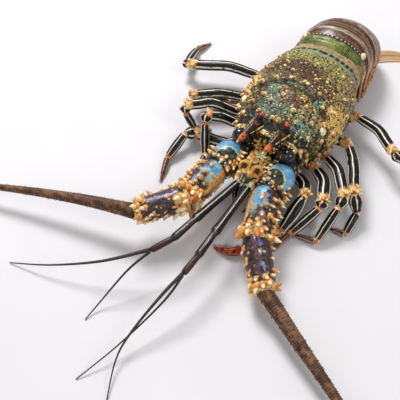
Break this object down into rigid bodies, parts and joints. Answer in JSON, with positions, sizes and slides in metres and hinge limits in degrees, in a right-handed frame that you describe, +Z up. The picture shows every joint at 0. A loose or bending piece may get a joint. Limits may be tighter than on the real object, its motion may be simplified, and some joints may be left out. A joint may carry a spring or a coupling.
{
  "type": "spiny lobster model",
  "caption": "Life-size still model of a pronghorn spiny lobster lying on its belly, feelers forward, legs folded and tail curled under.",
  "frame": {"origin": "the middle of the flat of the belly, on the floor", "axes": "+Z up, -Y towards the head, +X towards the animal's own left side"},
  "size_m": [0.5806, 0.4252, 0.0629],
  "materials": {
    "shell": "olive shell with tan grains, pale spines and a satin gloss",
    "feeler_shell": "dark purple-brown shell with blue patches and orange and cream spines",
    "whip": "grey-brown, finely ringed",
    "small_feeler": "near black with a pale line",
    "leg_shell": "near black with cream lines and orange joints",
    "tail_shell": "brown with grey-tan cross bands, moss green in front",
    "tail_fan": "orange-tan with brown lines",
    "underside": "pale horn colour",
    "eye": "glossy purple-black"
  },
  "bodies": {
    "root": {"carapace": "shell", "feeler_plate": "feeler_shell", "belly": "underside", "mouth": "underside", "eye_R": "eye", "eye_L": "eye", "feeler_R_base": "feeler_shell", "feeler_R_middle": "feeler_shell", "feeler_R_outer": "feeler_shell", "feeler_R_whip": "whip", "feeler_L_base": "feeler_shell", "feeler_L_middle": "feeler_shell", "feeler_L_outer": "feeler_shell", "feeler_L_whip": "whip", "small_feeler_R_stem": "small_feeler", "small_feeler_R_outer": "small_feeler", "small_feeler_R_inner": "small_feeler", "small_feeler_L_stem": "small_feeler", "small_feeler_L_outer": "small_feeler", "small_feeler_L_inner": "small_feeler", "mouth_leg_R": "leg_shell", "mouth_leg_L": "leg_shell", "leg_R1_upper": "leg_shell", "leg_R1_lower": "leg_shell", "leg_R2_upper": "leg_shell", "leg_R2_lower": "leg_shell", "leg_R3_upper": "leg_shell", "leg_R3_lower": "leg_shell", "leg_R4_upper": "leg_shell", "leg_R4_lower": "leg_shell", "leg_R5_upper": "leg_shell", "leg_R5_lower": "leg_shell", "leg_L1_upper": "leg_shell", "leg_L1_lower": "leg_shell", "leg_L2_upper": "leg_shell", "leg_L2_lower": "leg_shell", "leg_L3_upper": "leg_shell", "leg_L3_lower": "leg_shell", "leg_L4_upper": "leg_shell", "leg_L4_lower": "leg_shell", "leg_L5_upper": "leg_shell", "leg_L5_lower": "leg_shell", "tail_1": "tail_shell", "tail_2": "tail_shell", "tail_3": "tail_shell", "tail_4": "tail_shell", "tail_5": "tail_shell", "tail_6": "tail_shell", "telson": "tail_fan", "uropod_R_inner": "tail_fan", "uropod_R_outer": "tail_fan", "uropod_L_inner": "tail_fan", "uropod_L_outer": "tail_fan"}
  },
  "joints": []
}
